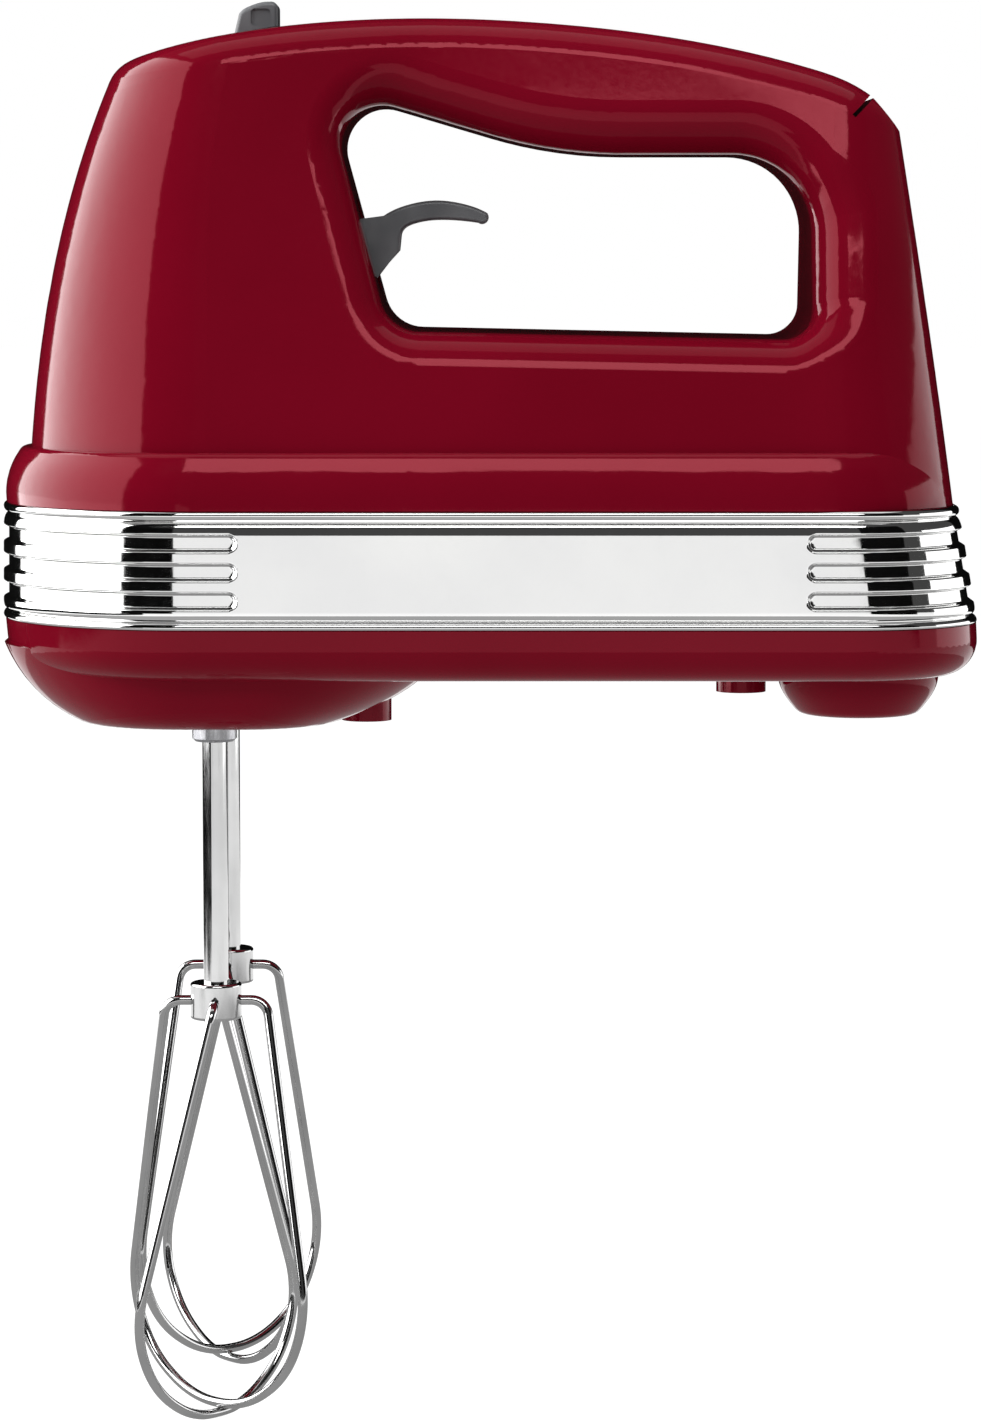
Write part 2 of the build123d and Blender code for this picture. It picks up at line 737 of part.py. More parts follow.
for side_name, side in [("left", -1), ("right", 1)]:
    axis_y = side * beater_y
    gap_angle = -90 * side
    with BuildPart() as gear:
        for level in (-0.5, 0.0, 0.5):
            turn = gap_angle + tooth_step / 2 + level * gear_twist
            with BuildSketch(Plane((beater_x, axis_y, motor_z + level * gear_thickness))):
                with BuildLine():
                    Polyline(*gear_outline(turn), close=True)
                make_face()
        loft(ruled=True)
        add(cylinder_between(beater_x, axis_y, spindle_radius, -95, -80).part, mode=Mode.SUBTRACT)
    save(gear, f"{side_name}_gear")

    with BuildPart() as spindle:
        add(cylinder_between(beater_x, axis_y, spindle_radius, spindle_bottom, spindle_top).part)
        add(cylinder_between(beater_x, axis_y, 7.0, tray_top + 0.4, motor_z - gear_thickness / 2).part)
        socket = cylinder_between(beater_x, axis_y, socket_radius, spindle_bottom, spindle_top)
        add(socket.part, mode=Mode.SUBTRACT)
        mouth = spindle.edges().filter_by(GeomType.CIRCLE).group_by(Axis.Z)[0].sort_by(SortBy.LENGTH)
        chamfer(mouth[-1], 0.6)
    save(spindle, f"{side_name}_spindle")

    with BuildPart() as detent:
        add(cylinder_between(beater_x, axis_y, 5.3, -114, -111).part)
        add(cylinder_between(beater_x, axis_y, spindle_radius, -115, -110).part, mode=Mode.SUBTRACT)
        clip_gap = block((beater_x - 7, beater_x - 2), (axis_y - 2, axis_y + 2), (-115, -110))
        add(clip_gap.part, mode=Mode.SUBTRACT)
    save(detent, f"{side_name}_detent")

# Beaters
circle_z = {"a": -243.0, "b": -245.1}


def loop_path(axis_y, start_turn, twist, middle_z):
    out_angle = degrees(atan2(hub_z - middle_z, shoulder_radius))
    reach = ((hub_z - middle_z) ** 2 + shoulder_radius**2) ** 0.5
    first = out_angle - degrees(acos(loop_radius / reach))
    step = (first + 90) / 3
    corner = loop_radius / cos(radians(step / 2))
    half = [(hub_radius - 0.6, hub_z, 0.0), (shoulder_radius, hub_z, 0.0)]
    for k in range(3):
        angle = first - step * (k + 0.5)
        across, height = polar(corner, angle)
        half.append((across, middle_z + height, twist))
    points = []
    for turn, rows in [(start_turn, half), (start_turn + 180, half[::-1])]:
        for across, height, extra in rows:
            x, y = polar(across, turn + extra)
            points.append((beater_x + x, axis_y + y, height))
    return points


bend = loop_radius * 0.93
loop_bends = [3.5, bend, bend, bend, bend, bend, bend, 3.5]
for side_name, side in [("left", -1), ("right", 1)]:
    axis_y = side * beater_y
    hub_top = hub_z + hub_height / 2
    with BuildPart() as beater_shaft:
        add(cylinder_between(beater_x, axis_y, shaft_radius, hub_top - hub_height, shaft_top).part)
        chamfer(beater_shaft.faces().sort_by(Axis.Z)[-1].edges(), 0.8)
        with BuildSketch(Plane((beater_x, axis_y, -112.5), x_dir=(1, 0, 0), z_dir=(0, -1, 0))):
            with Locations((shaft_radius, 0)):
                Circle(0.5)
        revolve(axis=Axis((beater_x, axis_y, 0), (0, 0, 1)), mode=Mode.SUBTRACT)
    save(beater_shaft, f"{side_name}_beater_shaft")

    with BuildPart() as hub:
        add(cylinder_between(beater_x, axis_y, hub_radius, hub_top - hub_height, hub_top).part)
        fillet(hub.edges().filter_by(GeomType.CIRCLE), 0.6)
        hub_bore = cylinder_between(beater_x, axis_y, shaft_radius, hub_top - hub_height, hub_top)
        add(hub_bore.part, mode=Mode.SUBTRACT)
    save(hub, f"{side_name}_beater_hub")

    for name, turn in [("a", 0), ("b", 90)]:
        route = loop_path(axis_y, turn, side * loop_twist, circle_z[name])
        with BuildPart() as wire:
            with BuildLine() as wire_line:
                FilletPolyline(*route, radius=loop_bends)
            with BuildSketch(Plane(origin=wire_line.line @ 0, z_dir=wire_line.line % 0)):
                Circle(wire_radius)
            sweep(path=wire_line.line)
        save(wire, f"{side_name}_wire_{name}")
        expected = wire_line.wires()[0].length * pi * wire_radius**2
        print(f"{side_name} wire {name}: volume {wire.part.volume:.1f}, length times section {expected:.1f}")


# Speed control: knob with its stem, slider below, fixed switch block
with BuildPart() as speed_knob:
    with BuildSketch(Plane.XZ.offset(-knob_half_width)):
        with BuildLine():
            back = Polyline((knob_front, 11.4), (knob_rear, 12.8), (knob_rear, 16.3))
            ThreePointArc(back @ 1, (-66.2, 17.4), (-67.4, 17.7))
            Spline((-67.4, 17.7), (-71.2, 16.9), (-73.6, 15.2), tangents=((-1, 0.05), (-0.6, -1)))
            Line((-73.6, 15.2), (knob_front, 11.4))
        make_face()
    extrude(amount=2 * knob_half_width)
    fillet(speed_knob.edges().filter_by(Axis.Y, reverse=True).filter_by(lambda e: e.center().Z > 13.1), 0.9)
    for y in (-knob_half_width - 1, knob_half_width - 0.6):
        with BuildSketch(Plane.XZ.offset(-y - 1.6)):
            with Locations((-69.2, 14.6)):
                RectangleRounded(4.0, 3.4, 0.8)
        extrude(amount=1.6, mode=Mode.SUBTRACT)
    add(block((stem_front, stem_rear), (-3, 3), (5.9, 12.8)).part)
save(speed_knob, "speed_knob")

with BuildPart() as speed_slider:
    add(block((-78, -62), (-7.5, 7.5), (3.3, 5.9), 1).part)
    for y in (-5.5, 4.0):
        add(block((-76, -64), (y, y + 1.5), (5.9, 6.7)).part)
save(speed_slider, "speed_slider")

with BuildPart() as switch_block:
    add(block((-86, -60.5), (-9, 9), (-8.5, 2.8), 1.5).part)
    for x in (-82, -74, -66):
        add(block((x, x + 2.4), (-5, -4.2), (-13.5, -8.5)).part)
        add(block((x, x + 2.4), (4.2, 5), (-13.5, -8.5)).part)
save(switch_block, "switch_block")

# Release lever, its pin, and the plate that it works
with BuildPart() as release_lever:
    with BuildSketch(Plane.XZ.offset(-lever_half_width)):
        with BuildLine():
            top_ends = ((1, 0.7), (1, -0.55))
            top = Spline(*lever_top, tangents=top_ends)
            tip_arc = ThreePointArc(top @ 1, (-23.2, -26.3), (-25.2, -26.8))
            under = Spline(tip_arc @ 1, *lever_under, tangents=((-1, 0.15), (-0.1, -1)))
            Polyline(under @ 1, *lever_back, top @ 0)
        make_face()
    extrude(amount=2 * lever_half_width)
    fillet(release_lever.edges().filter_by(lambda e: e.center().X > -40 and abs(e.center().Y) > 6), 0.8)
    add(disc_y(-lever_half_width, lever_half_width, 4.8, pivot).part)
    add(disc_y(-lever_half_width - 1, lever_half_width + 1, 2.05, pivot).part, mode=Mode.SUBTRACT)
save(release_lever, "release_lever")
save(disc_y(-11, 11, 2.0, pivot), "lever_pin")

with BuildPart() as ejector_plate:
    add(block((-85, -71.4), (-32, 32), (ejector_bottom, ejector_bottom + ejector_thickness), 5).part)
    add(cylinder_between(beater_x, 0, 3.0, ejector_bottom, -35.1).part)
    for y in (-beater_y, beater_y):
        add(cylinder_between(beater_x, y, 2.2, pusher_bottom, ejector_bottom).part)
save(ejector_plate, "ejector_plate")

spring_turns = 5
spring_radius = 5.2
spring_wire = 0.5
spring_height = ejector_bottom - cap_top
with BuildPart() as ejector_spring:
    with BuildLine() as spring_line:
        Helix(
            (spring_height - 2 * spring_wire) / spring_turns,
            spring_height - 2 * spring_wire,
            spring_radius,
            center=(beater_x, 0, cap_top + spring_wire),
        )
    with BuildSketch(Plane(origin=spring_line.line @ 0, z_dir=spring_line.line % 0)):
        Circle(spring_wire)
    sweep(path=spring_line.line, is_frenet=True)
save(ejector_spring, "ejector_spring")

# Control board, its parts and the mains terminals
with BuildPart() as control_board:
    add(block((0, 54), (-25, 25), (board_bottom, board_top), 2).part)
save(control_board, "control_board")

with BuildPart() as board_parts:
    for x, y, radius, height in [(10, -10, 5, 11), (40, 14, 6, 12)]:
        add(cylinder_between(x, y, radius, board_bottom - height, board_bottom).part)
    for x, y, length, width, height in [(32, -12, 12, 7, 9), (4, 14, 14, 5, 8), (46, -16, 8, 10, 6)]:
        add(block((x, x + length), (y, y + width), (board_bottom - height, board_bottom), 0.8).part)
save(board_parts, "board_parts")

with BuildPart() as terminal_block:
    add(block((32, 48), (22, 34), (base_z + wall, -104)).part)
    for x in (36, 44):
        add(cylinder_between(x, 28, 2.2, -107, -103).part, mode=Mode.SUBTRACT)
save(terminal_block, "terminal_block")

# Cord turret, held by a ring inside the base
with BuildPart() as cord_turret:
    with BuildSketch(Plane.XZ):
        with BuildLine():
            bowl = Spline(*turret_bowl, tangents=((0, -1), (-1, 0)))
            Polyline(
                bowl @ 1,
                (0, turret_bottom),
                (0, neck_top),
                (neck_radius, neck_top),
                (neck_radius, base_z - 0.4),
                bowl @ 0,
            )
        make_face()
    revolve(axis=Axis.Z)
    with BuildSketch(Plane.XZ):
        with Locations((0, gland_z)):
            Circle(gland_radius)
    extrude(amount=-20, mode=Mode.SUBTRACT)
    with BuildSketch(Plane.XY.offset(gland_z)):
        Circle(gland_radius)
    extrude(amount=20, mode=Mode.SUBTRACT)
cord_turret.part.position = (turret_x, 0, 0)
save(cord_turret, "cord_turret")

with BuildPart() as turret_retainer:
    add(cylinder_between(turret_x, 0, 14.6, base_z + wall + 0.4, base_z + wall + 2.2).part)
    add(cylinder_between(turret_x, 0, neck_radius, base_z, base_z + wall + 3).part, mode=Mode.SUBTRACT)
save(turret_retainer, "turret_retainer")
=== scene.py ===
import bpy
import json
from math import atan2, cos, hypot, pi, radians, sin
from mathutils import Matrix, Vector


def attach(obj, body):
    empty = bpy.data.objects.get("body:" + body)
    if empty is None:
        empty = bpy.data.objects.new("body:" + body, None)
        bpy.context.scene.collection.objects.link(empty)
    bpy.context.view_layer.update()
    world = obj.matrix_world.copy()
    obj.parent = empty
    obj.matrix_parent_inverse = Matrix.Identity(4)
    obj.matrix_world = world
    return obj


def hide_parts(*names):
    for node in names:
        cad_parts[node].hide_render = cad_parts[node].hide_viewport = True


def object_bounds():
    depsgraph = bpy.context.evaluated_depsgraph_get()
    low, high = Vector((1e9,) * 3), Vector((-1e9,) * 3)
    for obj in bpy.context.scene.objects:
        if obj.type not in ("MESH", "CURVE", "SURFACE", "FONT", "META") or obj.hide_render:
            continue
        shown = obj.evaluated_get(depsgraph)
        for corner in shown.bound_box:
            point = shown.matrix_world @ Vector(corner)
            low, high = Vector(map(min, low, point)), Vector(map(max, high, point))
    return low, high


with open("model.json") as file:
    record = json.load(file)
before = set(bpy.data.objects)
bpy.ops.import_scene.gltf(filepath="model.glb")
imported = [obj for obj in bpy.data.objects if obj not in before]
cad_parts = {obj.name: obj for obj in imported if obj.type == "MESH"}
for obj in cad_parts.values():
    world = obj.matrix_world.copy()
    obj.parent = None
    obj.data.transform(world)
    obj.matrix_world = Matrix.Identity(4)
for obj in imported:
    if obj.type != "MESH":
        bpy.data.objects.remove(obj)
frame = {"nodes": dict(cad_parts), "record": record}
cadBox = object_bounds()
lowestPoint = cadBox[0][2]
print("frame loaded")

mm = 0.001


def clearSelection():
    if bpy.context.mode != "OBJECT":
        bpy.ops.object.mode_set(mode="OBJECT")
    bpy.ops.object.select_all(action="DESELECT")


def settle(piece):
    clearSelection()
    piece.select_set(True)
    bpy.context.view_layer.objects.active = piece
    bpy.ops.object.transform_apply(location=True, rotation=True, scale=True)


# Camera: a long lens, looking slightly down
cameraSettings = {
    "place": (-0.0227, -0.9954, -0.0310),
    "tiltDown": 5.5,
    "lens": 122.87,
    "sensor": 36,
    "clipEnd": 50,
}
clearSelection()
bpy.ops.object.camera_add(
    location=cameraSettings["place"],
    rotation=(radians(90 - cameraSettings["tiltDown"]), 0, 0),
)
viewCamera = bpy.context.object
viewCamera.name = "viewCamera"
viewCamera.data.lens = cameraSettings["lens"]
viewCamera.data.sensor_width = cameraSettings["sensor"]
viewCamera.data.clip_end = cameraSettings["clipEnd"]
bpy.context.scene.camera = viewCamera
bpy.context.scene.view_settings.view_transform = "Standard"
print("camera placed")

# Finishes. Sizes of grain are in waves per metre along each axis.
finishCommon = {
    "specular": 0.5, "tint": (1, 1, 1),
    "patchDetail": 3, "patchRange": (0.35, 0.65),
    "grainDetail": 4, "grainRange": (0.3, 0.7),
    "bumpHeight": 0.0002,
}
finishes = {
    "crimsonGloss": {
        "colour": (0.116, 0.0014, 0.0080), "shade": (0.104, 0.0012, 0.0068), "metal": 0.0,
        "rough": (0.055, 0.095), "grain": (900, 900, 900), "patch": 18, "bump": 0.012,
        "specular": 0.36, "tint": (1.0, 0.24, 0.29),
    },
    "brightChrome": {
        "colour": (0.86, 0.86, 0.85), "shade": (0.80, 0.80, 0.80), "metal": 1.0,
        "rough": (0.035, 0.075), "grain": (700, 700, 700), "patch": 25, "bump": 0.006,
    },
    "beaterChrome": {
        "colour": (0.64, 0.64, 0.64), "shade": (0.55, 0.55, 0.55), "metal": 1.0,
        "rough": (0.05, 0.12), "grain": (900, 900, 120), "patch": 60, "bump": 0.01,
    },
    "slateSatin": {
        "colour": (0.105, 0.108, 0.114), "shade": (0.075, 0.078, 0.083), "metal": 0.0,
        "rough": (0.28, 0.42), "grain": (2600, 2600, 2600), "patch": 120, "bump": 0.05,
    },
    "brushedPlate": {
        "colour": (0.72, 0.72, 0.72), "shade": (0.55, 0.55, 0.56), "metal": 1.0,
        "rough": (0.16, 0.30), "grain": (60, 5200, 600), "patch": 90, "bump": 0.05,
    },
    "groundSteel": {
        "colour": (0.52, 0.52, 0.53), "shade": (0.38, 0.38, 0.40), "metal": 1.0,
        "rough": (0.22, 0.38), "grain": (3000, 3000, 300), "patch": 140, "bump": 0.06,
    },
    "stackedSheets": {
        "colour": (0.30, 0.30, 0.32), "shade": (0.10, 0.10, 0.11), "metal": 1.0,
        "rough": (0.35, 0.55), "grain": (4200, 40, 40), "patch": 90, "bump": 0.35,
    },
    "copperWire": {
        "colour": (0.60, 0.20, 0.07), "shade": (0.30, 0.09, 0.03), "metal": 1.0,
        "rough": (0.20, 0.35), "grain": (60, 2600, 2600), "patch": 100, "bump": 0.45,
    },
    "sinteredBronze": {
        "colour": (0.50, 0.32, 0.14), "shade": (0.30, 0.18, 0.08), "metal": 1.0,
        "rough": (0.40, 0.60), "grain": (5200, 5200, 5200), "patch": 160, "bump": 0.25,
    },
    "naturalNylon": {
        "colour": (0.76, 0.73, 0.62), "shade": (0.66, 0.62, 0.50), "metal": 0.0,
        "rough": (0.38, 0.52), "grain": (1500, 1500, 1500), "patch": 80, "bump": 0.05,
    },
    "blackMoulding": {
        "colour": (0.022, 0.022, 0.024), "shade": (0.012, 0.012, 0.013), "metal": 0.0,
        "rough": (0.35, 0.55), "grain": (2400, 2400, 2400), "patch": 90, "bump": 0.10,
    },
    "pressedCarbon": {
        "colour": (0.035, 0.035, 0.038), "shade": (0.015, 0.015, 0.016), "metal": 0.0,
        "rough": (0.55, 0.75), "grain": (6000, 6000, 6000), "patch": 200, "bump": 0.25,
        "specular": 0.4,
    },
    "boardLaminate": {
        "colour": (0.035, 0.17, 0.06), "shade": (0.02, 0.10, 0.035), "metal": 0.0,
        "rough": (0.25, 0.40), "grain": (1700, 1700, 60), "patch": 70, "bump": 0.10,
    },
    "castAlloy": {
        "colour": (0.56, 0.56, 0.58), "shade": (0.40, 0.40, 0.42), "metal": 1.0,
        "rough": (0.42, 0.60), "grain": (1900, 1900, 1900), "patch": 90, "bump": 0.22,
    },
    "printGrey": {
        "colour": (0.045, 0.046, 0.05), "shade": (0.03, 0.03, 0.033), "metal": 0.0,
        "rough": (0.45, 0.60), "grain": (3000, 3000, 3000), "patch": 200, "bump": 0.03,
        "specular": 0.4,
    },
}


def makeFinish(name, settings):
    material = bpy.data.materials.new(name)
    material.use_nodes = True
    nodes = material.node_tree.nodes
    links = material.node_tree.links
    shader = nodes["Principled BSDF"]
    shader.inputs["Metallic"].default_value = settings["metal"]
    shader.inputs["Specular IOR Level"].default_value = settings["specular"]
    shader.inputs["Specular Tint"].default_value = (*settings["tint"], 1)

    place = nodes.new("ShaderNodeTexCoord")
    stretch = nodes.new("ShaderNodeMapping")
    stretch.inputs["Scale"].default_value = settings["grain"]
    links.new(place.outputs["Object"], stretch.inputs["Vector"])

    patches = nodes.new("ShaderNodeTexNoise")
    patches.inputs["Scale"].default_value = settings["patch"]
    patches.inputs["Detail"].default_value = settings["patchDetail"]
    links.new(place.outputs["Object"], patches.inputs["Vector"])
    grain = nodes.new("ShaderNodeTexNoise")
    grain.inputs["Scale"].default_value = 1
    grain.inputs["Detail"].default_value = settings["grainDetail"]
    links.new(stretch.outputs["Vector"], grain.inputs["Vector"])

    tone = nodes.new("ShaderNodeValToRGB")
    for stop, position, colour in zip(
        tone.color_ramp.elements, settings["patchRange"], (settings["shade"], settings["colour"])
    ):
        stop.position = position
        stop.color = (*colour, 1)
    links.new(patches.outputs["Fac"], tone.inputs["Fac"])
    links.new(tone.outputs["Color"], shader.inputs["Base Color"])

    polish = nodes.new("ShaderNodeMapRange")
    polish.inputs["From Min"].default_value = settings["grainRange"][0]
    polish.inputs["From Max"].default_value = settings["grainRange"][1]
    polish.inputs["To Min"].default_value = settings["rough"][0]
    polish.inputs["To Max"].default_value = settings["rough"][1]
    links.new(grain.outputs["Fac"], polish.inputs["Value"])
    links.new(polish.outputs["Result"], shader.inputs["Roughness"])

    relief = nodes.new("ShaderNodeBump")
    relief.inputs["Strength"].default_value = settings["bump"]
    relief.inputs["Distance"].default_value = settings["bumpHeight"]
    links.new(grain.outputs["Fac"], relief.inputs["Height"])
    links.new(relief.outputs["Normal"], shader.inputs["Normal"])
    return material


finish = {
    name: makeFinish(name, {**finishCommon, **settings}) for name, settings in finishes.items()
}

slotFinish = {
    "housing_red": "crimsonGloss",
    "chrome": "brightChrome",
    "grey_plastic": "slateSatin",
    "scale_plate": "brushedPlate",
    "steel": "groundSteel",
    "laminations": "stackedSheets",
    "copper": "copperWire",
    "bronze": "sinteredBronze",
    "nylon": "naturalNylon",
    "black_plastic": "blackMoulding",
    "carbon": "pressedCarbon",
    "board": "boardLaminate",
    "zinc": "castAlloy",
}
for part in frame["record"]["subparts"]:
    node = frame["nodes"][part["node"]]
    chosen = slotFinish[part["material_slot"]]
    if "beater" in part["node"] or "wire" in part["node"]:
        chosen = "beaterChrome"
    node.data.materials.clear()
    node.data.materials.append(finish[chosen])
print("finishes given to", len(frame["nodes"]), "nodes")

# Chrome band: a bead at each edge, a flat middle and three grooves round each end
bandSettings = {
    "top": -83.3,
    "bottom": -106.9,
    "frontTop": -122.4, "frontBottom": -122.6,
    "rearTop": 71.4, "rearBottom": 75.5,
    "halfTop": 45.4, "halfBottom": 45.5,
    "noseDepth": 40.0,
    "cornerTop": 26.0, "cornerBottom": 27.0,
    "grooveHeights": (-89.6, -95.3, -101.0),
    "frontGrooveEnd": -74.3,
    "rearGrooveEnd": 41.3,
    "grooveHalf": 1.5,
    "grooveDepth": 1.1,
    "grooveSoft": 0.38,
    "wall": 2.0,
    "weld": 0.005,
    "smoothAngle": 40,
}
# where the band's mesh has rows and columns: millimetres, and degrees round its ends
bandMesh = {
    "grooveRows": (0.0, 0.6, 1.0, 1.12, 1.22, 1.32, 1.4, 1.5, 1.6, 1.68, 1.78, 1.9, 2.1),
    "sideColumns": (-78.0, -62.0, -46.0, -30.0, -14.0, 2.0, 18.0, 32.0),
    "grooveEndStep": 0.2,
    "grooveEndSteps": range(-4, 12),
    "noseAngles": range(90, 271, 3),
    "nearCornerAngles": (*range(-90, 0, 4), 0),
    "farCornerAngles": (*range(0, 90, 4), 90),
    "rearShares": (-0.5, 0.0, 0.5),
}
# height and how far in from the outline
bandProfile = [
    (-83.3, -0.95), (-83.38, -0.5), (-83.55, -0.22), (-83.85, -0.04), (-84.2, 0.0),
    (-84.6, -0.08), (-84.95, -0.3), (-85.15, -0.6), (-85.3, -0.85), (-85.5, -0.86),
    (-85.65, -0.66), (-85.9, -0.46), (-86.3, -0.27), (-86.8, -0.13), (-87.4, -0.04),
    (-88.0, 0.0), (-103.4, 0.0), (-103.9, -0.03), (-104.3, -0.11), (-104.65, -0.27),
    (-104.85, -0.48), (-105.0, -0.75), (-105.2, -0.78), (-105.35, -0.52), (-105.6, -0.22),
    (-105.95, -0.04), (-106.3, 0.0), (-106.6, -0.1), (-106.8, -0.35), (-106.9, -0.9),
]


def inset(z):
    for (z0, d0), (z1, d1) in zip(bandProfile, bandProfile[1:]):
        if z1 <= z <= z0:
            return d0 + (d1 - d0) * (z0 - z) / (z0 - z1)
    return 0.0


def bandRows():
    rows = [z for z, depth in bandProfile]
    for middle in bandSettings["grooveHeights"]:
        for step in bandMesh["grooveRows"]:
            rows += [middle + step, middle - step]
    return sorted(set(round(z, 3) for z in rows), reverse=True)


def bandColumns():
    straight = list(bandMesh["sideColumns"])
    step = bandMesh["grooveEndStep"]
    for end, way in ((bandSettings["frontGrooveEnd"], 1), (bandSettings["rearGrooveEnd"], -1)):
        straight += [end + way * step * count for count in bandMesh["grooveEndSteps"]]
    straight.sort()
    columns = [("nose", angle) for angle in bandMesh["noseAngles"]]
    columns += [("near", x) for x in straight]
    columns += [("nearCorner", angle) for angle in bandMesh["nearCornerAngles"]]
    columns += [("rear", share) for share in bandMesh["rearShares"]]
    columns += [("farCorner", angle) for angle in bandMesh["farCornerAngles"]]
    columns += [("far", x) for x in reversed(straight)]
    return columns


def bandPoint(column, z):
    b = bandSettings
    share = (z - b["bottom"]) / (b["top"] - b["bottom"])
    front = b["frontBottom"] + (b["frontTop"] - b["frontBottom"]) * share
    rear = b["rearBottom"] + (b["rearTop"] - b["rearBottom"]) * share
    half = b["halfBottom"] + (b["halfTop"] - b["halfBottom"]) * share
    corner = b["cornerBottom"] + (b["cornerTop"] - b["cornerBottom"]) * share
    kind, value = column
    if kind == "nose":
        angle = radians(value)
        x = front + b["noseDepth"] + b["noseDepth"] * cos(angle)
        y = half * sin(angle)
        nx, ny = cos(angle) / b["noseDepth"], sin(angle) / half
    elif kind in ("near", "far"):
        ny = -1 if kind == "near" else 1
        x, y, nx = value, ny * half, 0
    elif kind == "rear":
        x, y, nx, ny = rear, value * (half - corner), 1, 0
    else:
        side = -1 if kind == "nearCorner" else 1
        angle = radians(value)
        x = rear - corner + corner * cos(angle)
        y = side * (half - corner) + corner * sin(angle)
        nx, ny = cos(angle), sin(angle)
    length = hypot(nx, ny)
    depth = inset(z)
    for middle in b["grooveHeights"]:
        beyond = min(max(x - b["frontGrooveEnd"], 0), max(b["rearGrooveEnd"] - x, 0))
        gap = hypot(beyond, z - middle) - b["grooveHalf"]
        soft = b["grooveSoft"]
        fall = min(max((soft - gap) / (2 * soft), 0), 1)
        depth -= b["grooveDepth"] * fall * fall * (3 - 2 * fall)
    return (x + nx / length * depth) * mm, (y + ny / length * depth) * mm, z * mm


def buildBand():
    rows = bandRows()
    columns = bandColumns()
    clearSelection()
    bpy.ops.mesh.primitive_grid_add(
        x_subdivisions=len(columns), y_subdivisions=len(rows) - 1, size=2
    )
    band = bpy.context.object
    band.name = "bandSkin"
    # the grid's last line of vertices comes round to the first column again
    digits = 5
    spots = [(round(v.co.x, digits), round(v.co.y, digits)) for v in band.data.vertices]
    xOrder = {x: i for i, x in enumerate(sorted({x for x, y in spots}))}
    yOrder = {y: i for i, y in enumerate(sorted({y for x, y in spots}, reverse=True))}
    for vertex, (x, y) in zip(band.data.vertices, spots):
        vertex.co = bandPoint(columns[xOrder[x] % len(columns)], rows[yOrder[y]])
    bpy.ops.object.mode_set(mode="EDIT")
    bpy.ops.mesh.select_all(action="SELECT")
    bpy.ops.mesh.remove_doubles(threshold=bandSettings["weld"] * mm)
    bpy.ops.mesh.normals_make_consistent(inside=False)
    bpy.ops.object.mode_set(mode="OBJECT")
    widest = max(band.data.polygons, key=lambda face: face.area)
    if widest.normal.y * widest.center.y < 0:
        band.data.flip_normals()
    thickness = band.modifiers.new("wall", "SOLIDIFY")
    thickness.thickness = bandSettings["wall"] * mm
    thickness.offset = -1
    bpy.ops.object.modifier_apply(modifier="wall")
    bpy.ops.object.shade_smooth_by_angle(angle=radians(bandSettings["smoothAngle"]))
    band.data.materials.append(finish["brightChrome"])
    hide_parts("chrome_band")
    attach(band, "housing")
    return band


chromeBand = buildBand()
print("band made,", len(chromeBand.data.polygons), "faces")

# Numbers on the speed plate
scaleSettings = {
    "firstX": -61.5,
    "step": 5.4,
    "count": 6,
    "sideY": 6.9,
    "size": 3.2,
    "raise": 0.06,
    "searchFrom": 50.0,
}


def plateHeight(x, y):
    plate = frame["nodes"]["speed_scale"]
    above = Vector((x, y, scaleSettings["searchFrom"] * mm))
    hit, place, normal, _ = plate.ray_cast(above, Vector((0, 0, -1)))
    return (place.z, normal) if hit else (None, None)


def buildNumbers():
    made = []
    for number in range(scaleSettings["count"]):
        x = (scaleSettings["firstX"] + number * scaleSettings["step"]) * mm
        for side, way in (("far", 1), ("near", -1)):
            y = way * scaleSettings["sideY"] * mm
            height, normal = plateHeight(x, y)
            if height is None:
                continue
            clearSelection()
            bpy.ops.object.text_add(location=(x, y, height))
            figure = bpy.context.object
            figure.name = f"scaleNumber{number}{side}"
            figure.data.body = str(number)
            figure.data.align_x = "CENTER"
            figure.data.align_y = "CENTER"
            figure.data.size = scaleSettings["size"] * mm
            figure.data.extrude = scaleSettings["raise"] * mm
            figure.rotation_euler = (0, atan2(normal.x, normal.z), 0)
            bpy.ops.object.convert(target="MESH")
            settle(figure)
            figure.data.materials.clear()
            figure.data.materials.append(finish["printGrey"])
            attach(figure, "housing")
            made.append(figure)
    return made


numbers = buildNumbers()
print("scale numbers:", len(numbers))


def plainPaint(name, settings):
    material = bpy.data.materials.new(name)
    material.use_nodes = True
    shader = material.node_tree.nodes["Principled BSDF"]
    shader.inputs["Base Color"].default_value = (*settings["colour"], 1)
    shader.inputs["Roughness"].default_value = settings["rough"]
    shader.inputs["Specular IOR Level"].default_value = 0.0
    shader.inputs["Emission Color"].default_value = (1, 1, 1, 1)
    shader.inputs["Emission Strength"].default_value = settings["glow"]
    return material


def showOnlyInReflections(piece):
    piece.visible_camera = False
    piece.visible_shadow = False
    piece.visible_diffuse = False


# Floor, low enough for the beaters to come down 40 mm when they are let go
floorSettings = {
    "size": 24.0,
    "drop": 0.042,
    "paint": {"colour": (0.12, 0.12, 0.12), "rough": 0.9, "glow": 1.0},
}
clearSelection()
bpy.ops.mesh.primitive_plane_add(
    size=floorSettings["size"], location=(0, 0, lowestPoint - floorSettings["drop"])
)
floor = bpy.context.object
floor.name = "floor"
floor.data.materials.append(plainPaint("paleFloor", floorSettings["paint"]))

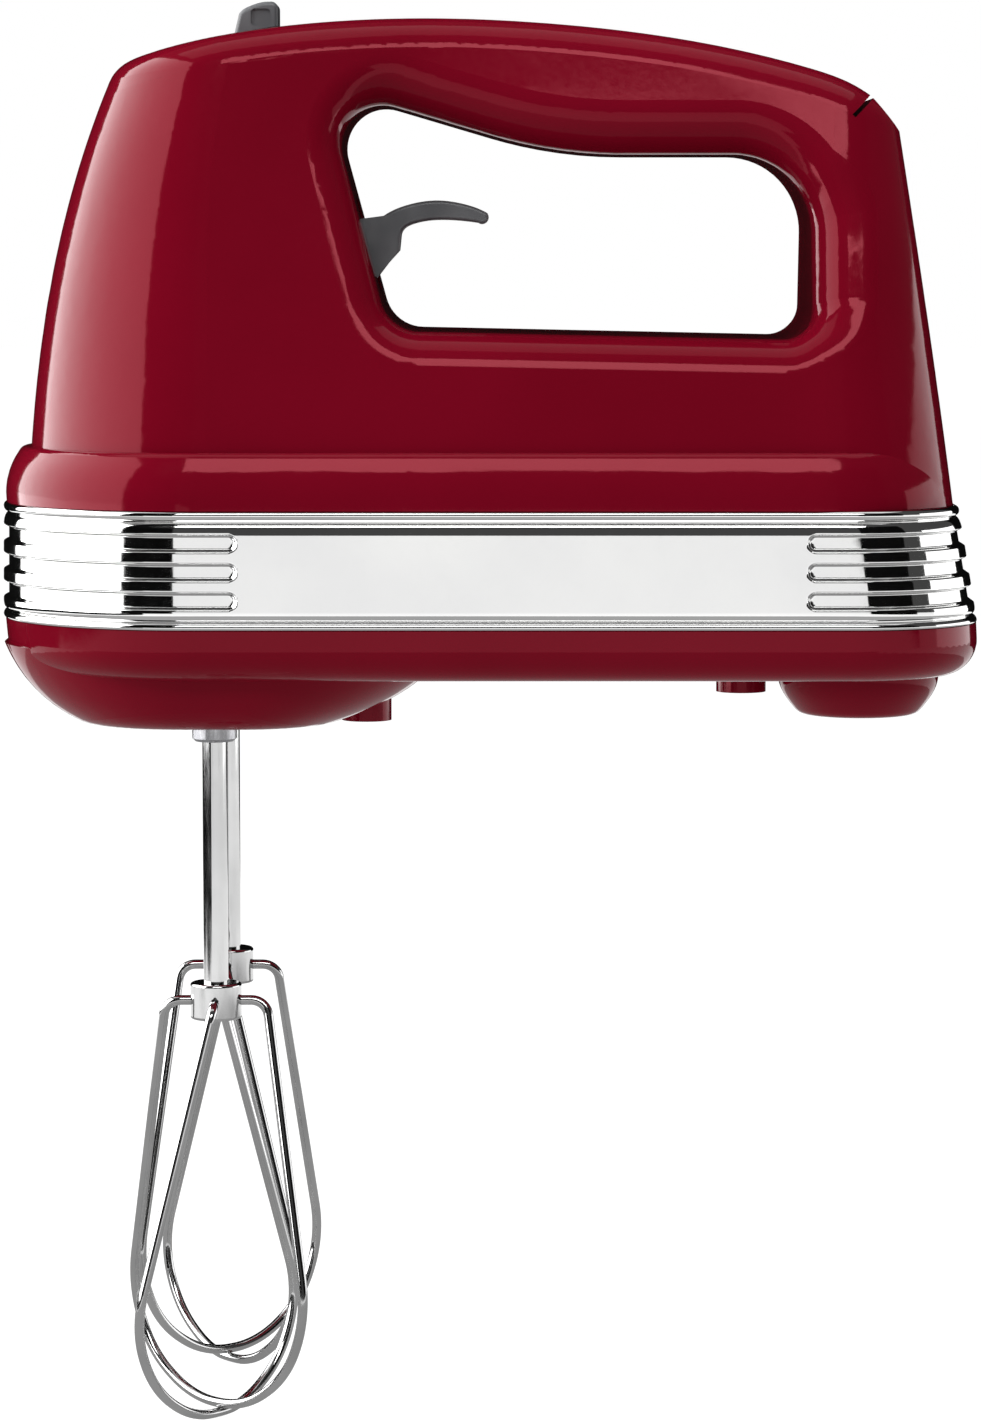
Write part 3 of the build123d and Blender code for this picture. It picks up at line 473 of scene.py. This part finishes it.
# Soft lamps. The glow is the brightness of the lamp's face, so its power follows its size.
softboxes = [
    {
        "name": "frontStrip", "place": (0.02, -1.5, 1.17), "turn": (50, 0, 0),
        "size": (1.8, 0.42), "glow": 6.3, "reflected": True,
    },
    {
        "name": "overhead", "place": (-0.02, -0.05, 1.3), "turn": (0, 0, 0),
        "size": (1.9, 0.9), "glow": 0.9, "reflected": True,
    },
    {
        "name": "topFill", "place": (0.0, -0.35, 1.25), "turn": (0, 0, 0),
        "size": (2.0, 1.7), "glow": 2.7, "reflected": False,
    },
    {
        "name": "leftBox", "place": (-1.0, 0.03, 0.42), "turn": (0, -90, 0),
        "size": (1.36, 1.8), "glow": 4.2, "reflected": True,
    },
    {
        "name": "rightBox", "place": (1.1, 0.45, -0.05), "turn": (0, 90, 0),
        "size": (0.42, 1.2), "glow": 1.6, "reflected": True,
    },
]
for box in softboxes:
    clearSelection()
    turn = [radians(angle) for angle in box["turn"]]
    bpy.ops.object.light_add(type="AREA", location=box["place"], rotation=turn)
    lamp = bpy.context.object
    lamp.name = box["name"]
    lamp.data.shape = "RECTANGLE"
    lamp.data.size, lamp.data.size_y = box["size"]
    lamp.data.energy = box["glow"] * pi * box["size"][0] * box["size"][1]
    lamp.visible_camera = False
    lamp.visible_glossy = box["reflected"]

# Black cards. Each spans a range of directions round the mixer, in degrees from the camera's side.
flagPaint = plainPaint("flagCloth", {"colour": (0.002, 0.002, 0.002), "rough": 1.0, "glow": 0.0})
flags = [
    {"name": "leftFlag", "from": -18, "to": -49, "reach": 0.75, "top": 1.0, "bottom": -0.19},
    {"name": "rightFlag", "from": 24, "to": 64, "reach": 0.75, "top": 0.4, "bottom": -0.19},
    {"name": "rearFlag", "from": 134, "to": 226, "reach": 1.15, "top": 1.0, "bottom": -0.27},
    {"name": "lowFlagNear", "from": -36, "to": -92, "reach": 0.78, "top": -0.19, "bottom": -0.27},
    {"name": "lowFlagFar", "from": -92, "to": -150, "reach": 0.78, "top": -0.19, "bottom": -0.27},
]
for flag in flags:
    start = radians(flag["from"])
    end = radians(flag["to"])
    first = Vector((sin(start), -cos(start), 0)) * flag["reach"]
    last = Vector((sin(end), -cos(end), 0)) * flag["reach"]
    middle = (first + last) / 2
    middle.z = (flag["top"] + flag["bottom"]) / 2
    clearSelection()
    bpy.ops.mesh.primitive_plane_add(size=1, location=middle)
    card = bpy.context.object
    card.name = flag["name"]
    card.scale = ((last - first).length, flag["top"] - flag["bottom"], 1)
    along = atan2(last.y - first.y, last.x - first.x)
    card.rotation_euler = (radians(90), 0, along)
    card.data.materials.append(flagPaint)
    showOnlyInReflections(card)

# Painted reflection: a dim, glowing grey disc under the mixer, level with the beaters' ends, seen
# only in reflections, where it darkens what the beaters and the underside reflect of the white
# floor
reflectionDiscSettings = {
    "radius": 0.5,
    "corners": 64,
    "place": (-0.02, -0.05),
    "rise": 0.0004,
    # painted reflection: this grey glow is the brightness the beaters and the underside reflect in
    # place of the white floor
    "paint": {"colour": (0.05, 0.05, 0.05), "rough": 1.0, "glow": 0.33},
}
clearSelection()
bpy.ops.mesh.primitive_circle_add(
    vertices=reflectionDiscSettings["corners"], radius=reflectionDiscSettings["radius"], fill_type="NGON",
    location=(*reflectionDiscSettings["place"], lowestPoint + reflectionDiscSettings["rise"]),
)
reflectionDisc = bpy.context.object
reflectionDisc.name = "paintedReflectionDisc"
reflectionDisc.data.materials.append(plainPaint("paintedReflectionGrey", reflectionDiscSettings["paint"]))
showOnlyInReflections(reflectionDisc)

# The camera sees white paper behind the mixer. The mixer itself gets a dim, even light.
roomSettings = {"fill": 0.06, "paper": 1.0}
studio = bpy.data.worlds.new("studio")
studio.use_nodes = True
bpy.context.scene.world = studio
tree = studio.node_tree
tree.nodes.clear()
path = tree.nodes.new("ShaderNodeLightPath")
chooser = tree.nodes.new("ShaderNodeMixShader")
output = tree.nodes.new("ShaderNodeOutputWorld")
for socket, strength in zip(chooser.inputs[1:], (roomSettings["fill"], roomSettings["paper"])):
    backing = tree.nodes.new("ShaderNodeBackground")
    backing.inputs["Color"].default_value = (1, 1, 1, 1)
    backing.inputs["Strength"].default_value = strength
    tree.links.new(backing.outputs["Background"], socket)
tree.links.new(path.outputs["Is Camera Ray"], chooser.inputs["Fac"])
tree.links.new(chooser.outputs["Shader"], output.inputs["Surface"])
print("floor and light placed")
